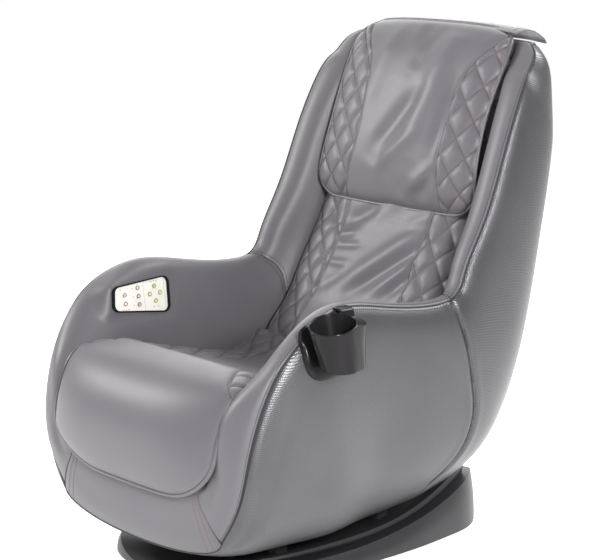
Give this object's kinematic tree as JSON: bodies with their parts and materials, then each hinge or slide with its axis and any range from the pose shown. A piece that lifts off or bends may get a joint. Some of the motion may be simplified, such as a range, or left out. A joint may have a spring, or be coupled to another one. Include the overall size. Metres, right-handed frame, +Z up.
{
  "type": "massage chair",
  "caption": "Shell-shaped lounge massage chair on a low crescent base, with quilted pads, head pillow, cup holder, key panel and a track carriage.",
  "frame": {"origin": "centre of the floor face of the base", "axes": "+Z up, the sitter faces -Y, the cup holder is on the +X side"},
  "size_m": [0.831, 1.0089, 1.0811],
  "materials": {
    "textured_leather": "fine ribbed embossed synthetic leather, dark warm grey, slight metallic sheen",
    "smooth_leather": "smooth soft synthetic leather, warm grey, semi-matt",
    "bottom_board": "moulded dark sheet",
    "plywood": "raw birch plywood",
    "frame_steel": "black powder coat",
    "bright_steel": "zinc plated",
    "motor_case": "grey enamel",
    "white_nylon": "natural nylon",
    "roller_rubber": "soft moulded rubber",
    "panel_bezel": "gloss black",
    "panel_face": "satin warm white",
    "circuit_board": "solder mask",
    "button_warm": "satin warm grey",
    "button_grey": "satin grey",
    "button_green": "satin pale green",
    "gloss_black": "polished black",
    "base_plastic": "satin moulded charcoal",
    "foot_rubber": "plain",
    "case_plastic": "fine moulded texture"
  },
  "bodies": {
    "root": {"left_side_cover": "textured_leather", "right_side_cover": "textured_leather", "rear_cover": "textured_leather", "belly_board": "bottom_board", "left_side_board": "plywood", "right_side_board": "plywood", "seat_board": "plywood", "left_arm_pad": "smooth_leather", "right_arm_pad": "smooth_leather", "front_apron": "smooth_leather", "seat_pad": "smooth_leather", "back_pad": "smooth_leather", "top_pad": "smooth_leather", "pillow_strap": "smooth_leather", "cross_tubes": "frame_steel", "rail_left": "frame_steel", "rail_right": "frame_steel", "racks": "frame_steel", "base_frame": "frame_steel", "frame_bolts": "bright_steel", "control_bezel": "panel_bezel", "control_face": "panel_face", "control_board": "circuit_board", "cup_holder": "gloss_black", "cup_holder_bracket": "gloss_black", "base_cover": "base_plastic", "base_collar": "base_plastic", "base_feet": "foot_rubber", "control_box": "case_plastic", "power_supply": "case_plastic", "power_inlet": "case_plastic"},
    "carriage": {"carriage_frame": "frame_steel", "travel_motor": "motor_case", "kneading_motor": "motor_case", "tapping_motor": "motor_case"},
    "drive": {"drive_shaft": "bright_steel", "pinions": "white_nylon"},
    "wheels_lower": {"guide_wheels_lower": "white_nylon"},
    "wheels_upper": {"guide_wheels_upper": "white_nylon"},
    "kneading": {"kneading_shaft": "bright_steel"},
    "tapping": {"tapping_shaft": "bright_steel"},
    "pillow": {"head_pillow": "smooth_leather"},
    "switch_key": {"power_switch": "case_plastic"},
    "arm_left": {"massage_arm_left": "white_nylon"},
    "rocker_body_left": {"rocker_left": "white_nylon"},
    "roller_body_lower_left": {"roller_lower_left": "roller_rubber"},
    "roller_body_upper_left": {"roller_upper_left": "roller_rubber"},
    "arm_right": {"massage_arm_right": "white_nylon"},
    "rocker_body_right": {"rocker_right": "white_nylon"},
    "roller_body_lower_right": {"roller_lower_right": "roller_rubber"},
    "roller_body_upper_right": {"roller_upper_right": "roller_rubber"},
    "key_1": {"button_1": "button_warm"},
    "key_2": {"button_2": "button_warm"},
    "key_3": {"button_3": "button_grey"},
    "key_4": {"button_4": "button_grey"},
    "key_5": {"button_5": "button_grey"},
    "key_6": {"button_6": "button_green"},
    "key_7": {"button_7": "button_green"},
    "key_8": {"button_8": "button_green"},
    "key_9": {"button_9": "button_green"}
  },
  "joints": [
    {"name": "track_travel", "type": "hinge", "parent": "root", "child": "carriage", "pos_m": [0, -0.244, 0.909], "axis": [1, 0, 0], "range_deg": [0, 59]},
    {"name": "drive_spin", "type": "hinge", "parent": "carriage", "child": "drive", "pos_m": [0, 0.05183, 0.27459], "axis": [1, 0, 0], "range_deg": [-1780, 0]},
    {"name": "wheels_lower_spin", "type": "hinge", "parent": "carriage", "child": "wheels_lower", "pos_m": [0, 0.00389, 0.25436], "axis": [1, 0, 0], "range_deg": [-3370, 0]},
    {"name": "wheels_upper_spin", "type": "hinge", "parent": "carriage", "child": "wheels_upper", "pos_m": [0, 0.09814, 0.29831], "axis": [1, 0, 0], "range_deg": [-3370, 0]},
    {"name": "kneading_spin", "type": "hinge", "parent": "carriage", "child": "kneading", "pos_m": [0, 0.06936, 0.29379], "axis": [1, 0, 0], "continuous": true},
    {"name": "tapping_spin", "type": "hinge", "parent": "carriage", "child": "tapping", "pos_m": [0, 0.02585, 0.2735], "axis": [1, 0, 0], "continuous": true},
    {"name": "arm_right_swing", "type": "hinge", "parent": "carriage", "child": "arm_right", "pos_m": [0.062, 0.03915, 0.30177], "axis": [0, 0.9063, 0.4226], "range_deg": [-4, 4]},
    {"name": "rocker_right_tilt", "type": "hinge", "parent": "arm_right", "child": "rocker_body_right", "pos_m": [0.062, 0.03239, 0.31627], "axis": [1, 0, 0], "range_deg": [-8, 8]},
    {"name": "roller_lower_right_spin", "type": "hinge", "parent": "rocker_body_right", "child": "roller_body_lower_right", "pos_m": [0.087, 0.00605, 0.30178], "axis": [1, 0, 0], "continuous": true},
    {"name": "roller_upper_right_spin", "type": "hinge", "parent": "rocker_body_right", "child": "roller_body_upper_right", "pos_m": [0.087, 0.06043, 0.32714], "axis": [1, 0, 0], "continuous": true},
    {"name": "arm_left_swing", "type": "hinge", "parent": "carriage", "child": "arm_left", "pos_m": [-0.062, 0.03915, 0.30177], "axis": [0, 0.9063, 0.4226], "range_deg": [-4, 4]},
    {"name": "rocker_left_tilt", "type": "hinge", "parent": "arm_left", "child": "rocker_body_left", "pos_m": [-0.062, 0.03239, 0.31627], "axis": [1, 0, 0], "range_deg": [-8, 8]},
    {"name": "roller_lower_left_spin", "type": "hinge", "parent": "rocker_body_left", "child": "roller_body_lower_left", "pos_m": [-0.087, 0.00605, 0.30178], "axis": [1, 0, 0], "continuous": true},
    {"name": "roller_upper_left_spin", "type": "hinge", "parent": "rocker_body_left", "child": "roller_body_upper_left", "pos_m": [-0.087, 0.06043, 0.32714], "axis": [1, 0, 0], "continuous": true},
    {"name": "key_1_press", "type": "slide", "parent": "root", "child": "key_1", "axis": [-0.9842, 0, -0.1772], "range_m": [0, 0.0012], "stiffness_N_per_m": 300, "springref_m": -0.0002},
    {"name": "key_2_press", "type": "slide", "parent": "root", "child": "key_2", "axis": [-0.9842, 0, -0.1772], "range_m": [0, 0.0012], "stiffness_N_per_m": 300, "springref_m": -0.0002},
    {"name": "key_3_press", "type": "slide", "parent": "root", "child": "key_3", "axis": [-0.9842, 0, -0.1772], "range_m": [0, 0.0012], "stiffness_N_per_m": 300, "springref_m": -0.0002},
    {"name": "key_4_press", "type": "slide", "parent": "root", "child": "key_4", "axis": [-0.9842, 0, -0.1772], "range_m": [0, 0.0012], "stiffness_N_per_m": 300, "springref_m": -0.0002},
    {"name": "key_5_press", "type": "slide", "parent": "root", "child": "key_5", "axis": [-0.9842, 0, -0.1772], "range_m": [0, 0.0012], "stiffness_N_per_m": 300, "springref_m": -0.0002},
    {"name": "key_6_press", "type": "slide", "parent": "root", "child": "key_6", "axis": [-0.9842, 0, -0.1772], "range_m": [0, 0.0012], "stiffness_N_per_m": 300, "springref_m": -0.0002},
    {"name": "key_7_press", "type": "slide", "parent": "root", "child": "key_7", "axis": [-0.9842, 0, -0.1772], "range_m": [0, 0.0012], "stiffness_N_per_m": 300, "springref_m": -0.0002},
    {"name": "key_8_press", "type": "slide", "parent": "root", "child": "key_8", "axis": [-0.9842, 0, -0.1772], "range_m": [0, 0.0012], "stiffness_N_per_m": 300, "springref_m": -0.0002},
    {"name": "key_9_press", "type": "slide", "parent": "root", "child": "key_9", "axis": [-0.9842, 0, -0.1772], "range_m": [0, 0.0012], "stiffness_N_per_m": 300, "springref_m": -0.0002},
    {"name": "switch_rock", "type": "hinge", "parent": "root", "child": "switch_key", "pos_m": [0.026, 0.40004, 0.27707], "axis": [1, 0, 0], "range_deg": [0, 14]},
    {"name": "pillow_lift", "type": "hinge", "parent": "root", "child": "pillow", "pos_m": [0, 0.409, 1.08], "axis": [-1, 0, 0], "range_deg": [0, 150]}
  ],
  "couplings": [
    {"joint": "drive_spin", "follows": "track_travel", "ratio": -30.167},
    {"joint": "wheels_lower_spin", "follows": "track_travel", "ratio": -57.04},
    {"joint": "wheels_upper_spin", "follows": "track_travel", "ratio": -57.04},
    {"joint": "arm_left_swing", "follows": "arm_right_swing", "ratio": -1}
  ]
}
